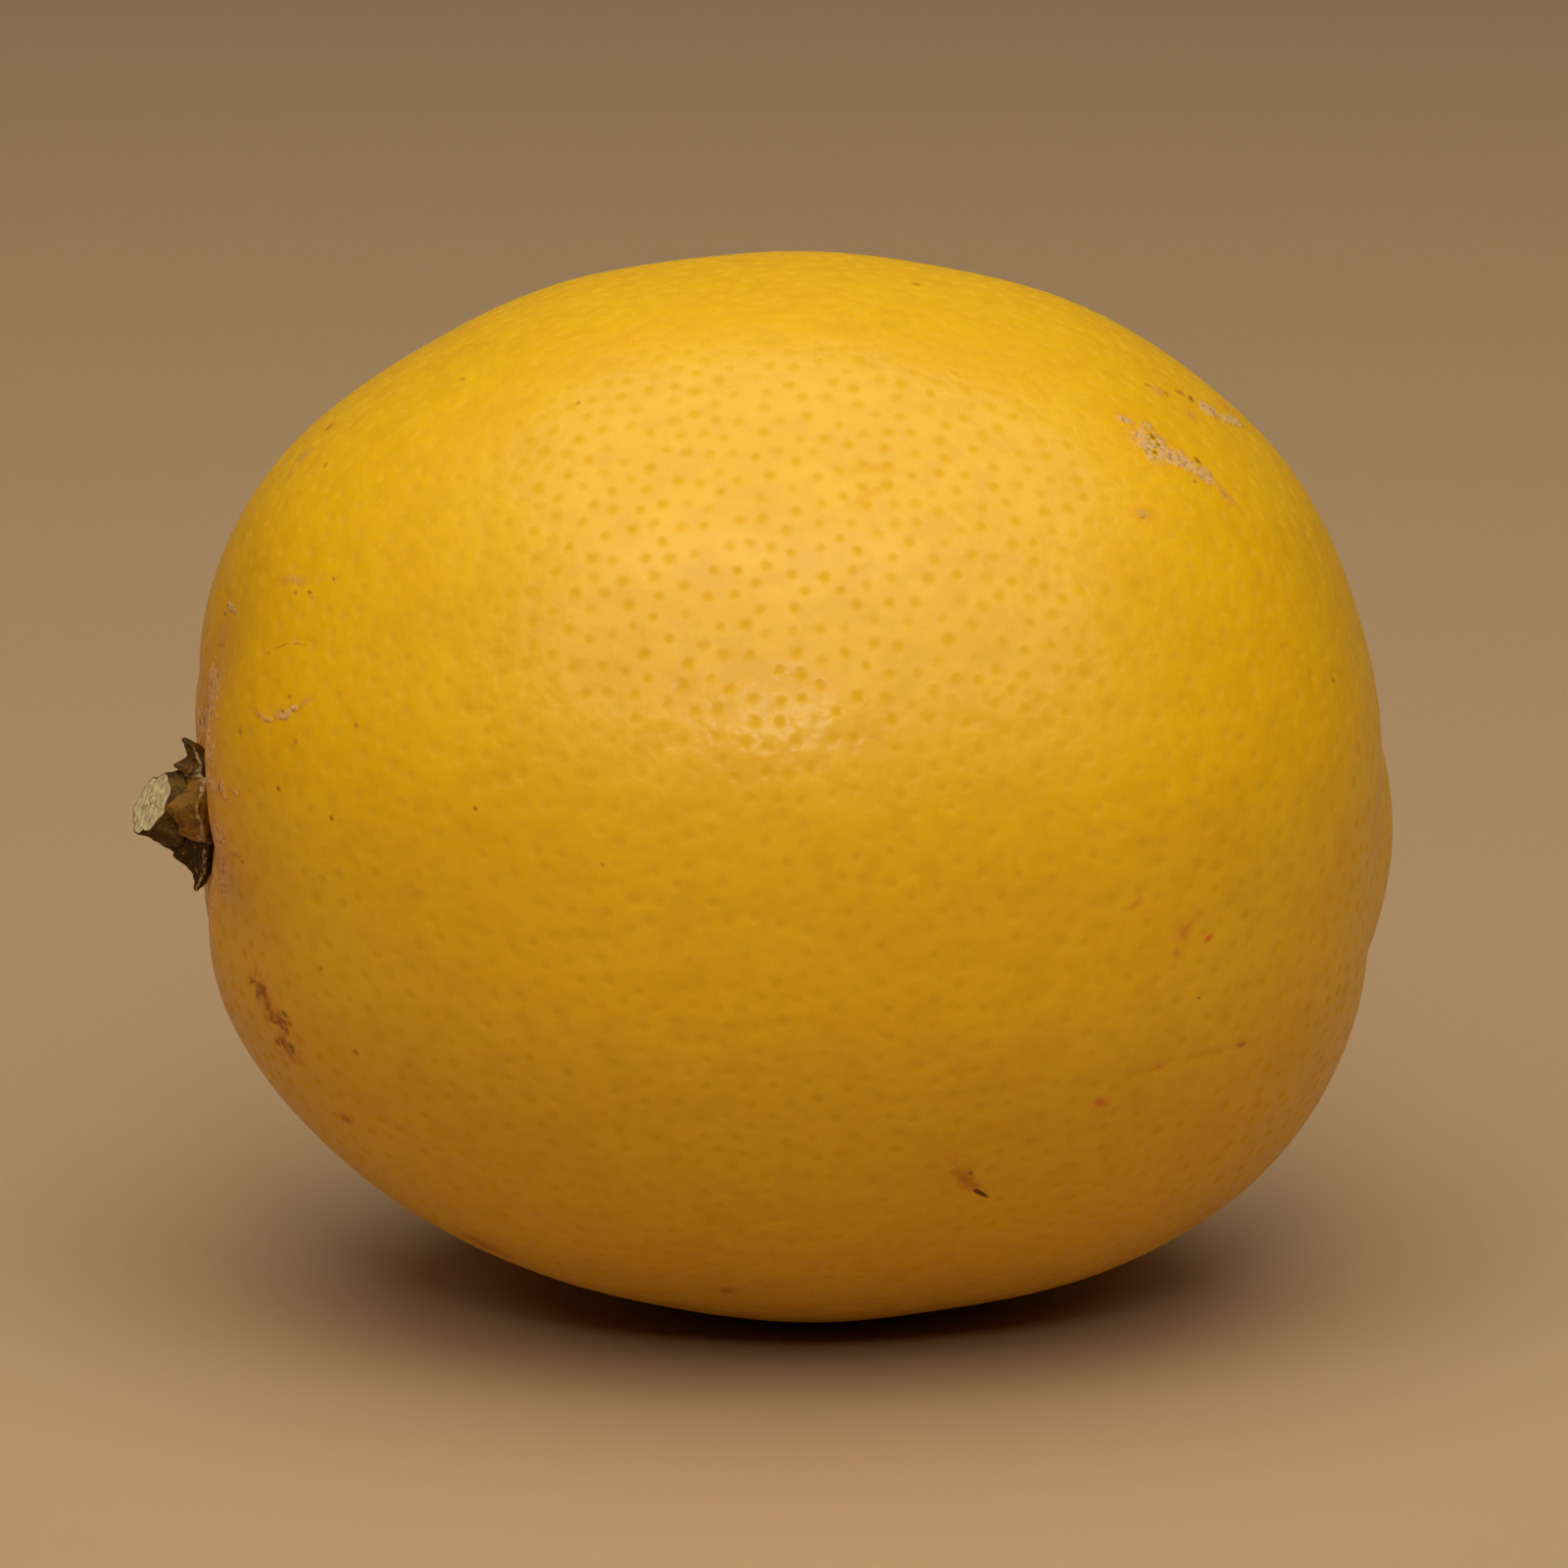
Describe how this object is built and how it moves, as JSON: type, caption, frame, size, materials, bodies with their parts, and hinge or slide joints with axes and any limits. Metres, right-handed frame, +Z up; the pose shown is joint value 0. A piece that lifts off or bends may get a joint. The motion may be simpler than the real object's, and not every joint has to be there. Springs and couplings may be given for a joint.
{
  "type": "lemon",
  "caption": "Whole ripe lemon lying on its side, with a low blossom nipple, a shallow furrowed stem hollow, a dry calyx and a short cut stem stub.",
  "frame": {"origin": "middle of the small flat spot that the fruit rests on", "axes": "+Z up, +X along the fruit from the stem end to the blossom end"},
  "size_m": [0.0732, 0.0623, 0.0618],
  "materials": {
    "rind": "waxy golden yellow citrus rind, pitted with oil glands, half gloss, with a few tan corky scars",
    "dry_calyx": "dry brown papery calyx, matt",
    "stem_bark": "olive brown bark round a pale fibrous cut face, matt"
  },
  "bodies": {
    "root": {"fruit": "rind", "calyx": "dry_calyx", "stem_stub": "stem_bark"}
  },
  "joints": []
}
